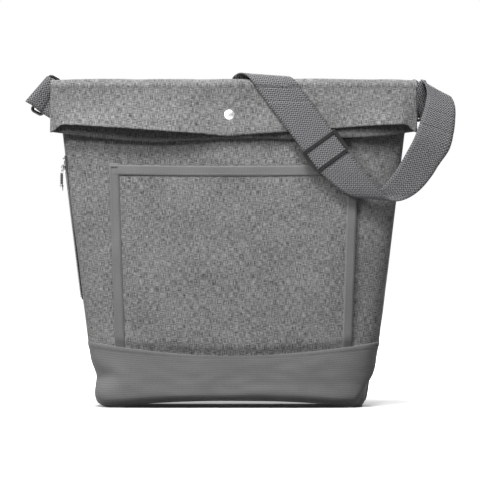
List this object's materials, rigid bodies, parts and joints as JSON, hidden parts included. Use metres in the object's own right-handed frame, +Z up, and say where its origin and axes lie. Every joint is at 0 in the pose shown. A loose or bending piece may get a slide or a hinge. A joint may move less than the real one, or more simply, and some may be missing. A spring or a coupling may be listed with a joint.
{
  "type": "fold-over shoulder tote bag",
  "caption": "Soft fold-over shoulder tote with a snap flap, front pocket, side zip, boxed base and an adjustable webbing strap.",
  "frame": {"origin": "on the ground at the middle of the flat base", "axes": "+Z up, +Y from the front with the pocket to the back, +X to the right as seen from the front"},
  "size_m": [0.4717, 0.1, 0.3668],
  "materials": {
    "melange_cloth": "grey melange polyester, plain weave",
    "base_cloth": "plain grey coated polyester",
    "binding_cloth": "plain grey woven tape",
    "webbing": "ribbed grey webbing",
    "zip_tape": "dark woven zip tape",
    "zip_coil": "dark nylon coil",
    "pull_cord": "grey grip of the pull",
    "zip_metal": "satin nickel",
    "snap_metal": "bright nickel",
    "ring_plastic": "black moulded plastic",
    "slider_plastic": "dark grey moulded plastic"
  },
  "bodies": {
    "root": {"base_panel": "base_cloth", "front_panel": "melange_cloth", "back_panel": "melange_cloth", "pocket_panel": "melange_cloth", "pocket_binding": "binding_cloth", "pocket_tape_left": "binding_cloth", "pocket_tape_right": "binding_cloth", "zip_tape_front": "zip_tape", "zip_tape_back": "zip_tape", "zip_coil_front": "zip_coil", "zip_coil_back": "zip_coil", "zip_top_stop": "zip_metal", "zip_bottom_stop": "zip_metal", "ring_tab_left": "webbing", "ring_tab_right": "webbing", "strap_rear_run": "webbing", "strap_right_link": "webbing"},
    "fold_band": {"fold_band": "melange_cloth", "strap_over_fold": "webbing"},
    "flap": {"inner_rim": "melange_cloth", "snap_stud": "snap_metal", "snap_eyelet": "snap_metal"},
    "outer_rim": {"outer_rim": "melange_cloth", "snap_cap": "snap_metal", "snap_socket": "snap_metal", "strap_front_run": "webbing", "strap_loop": "webbing"},
    "strap_slider": {"strap_slider": "slider_plastic"},
    "zip_slider": {"zip_slider": "zip_metal"},
    "zip_pull": {"zip_pull_link": "zip_metal", "zip_pull_grip": "pull_cord", "zip_pull_tip": "zip_metal"},
    "ring_left": {"ring_left": "ring_plastic", "strap_end_left": "webbing"},
    "ring_right": {"ring_right": "ring_plastic", "strap_end_right": "webbing"}
  },
  "joints": [
    {"name": "fold_turn", "type": "hinge", "parent": "root", "child": "fold_band", "pos_m": [0, 0.007, 0.352], "axis": [-1, 0, 0], "range_deg": [0, 90]},
    {"name": "flap_turn", "type": "hinge", "parent": "fold_band", "child": "flap", "pos_m": [0, -0.013, 0.352], "axis": [-1, 0, 0], "range_deg": [0, 90]},
    {"name": "mouth_open", "type": "hinge", "parent": "flap", "child": "outer_rim", "pos_m": [0, -0.013, 0.352], "axis": [-1, 0, 0], "range_deg": [0, 30]},
    {"name": "strap_slide", "type": "slide", "parent": "outer_rim", "child": "strap_slider", "axis": [0.5897, -0.1315, -0.7969], "range_m": [-0.02, 0.004]},
    {"name": "zip_slide", "type": "slide", "parent": "root", "child": "zip_slider", "axis": [0.123, 0, -0.9924], "range_m": [0, 0.13]},
    {"name": "zip_pull_swing", "type": "hinge", "parent": "zip_slider", "child": "zip_pull", "pos_m": [-0.19022, 0, 0.26228], "axis": [0, 1, 0], "range_deg": [0, 150]},
    {"name": "ring_left_swing", "type": "hinge", "parent": "root", "child": "ring_left", "pos_m": [-0.20356, 0.02, 0.34103], "axis": [0.4787, 0, 0.878], "range_deg": [-12, 12]},
    {"name": "ring_right_swing", "type": "hinge", "parent": "root", "child": "ring_right", "pos_m": [0.19704, 0.02, 0.33628], "axis": [-0.2773, 0, 0.9608], "range_deg": [-12, 12]}
  ],
  "couplings": [
    {"joint": "flap_turn", "follows": "fold_turn", "ratio": 1}
  ]
}
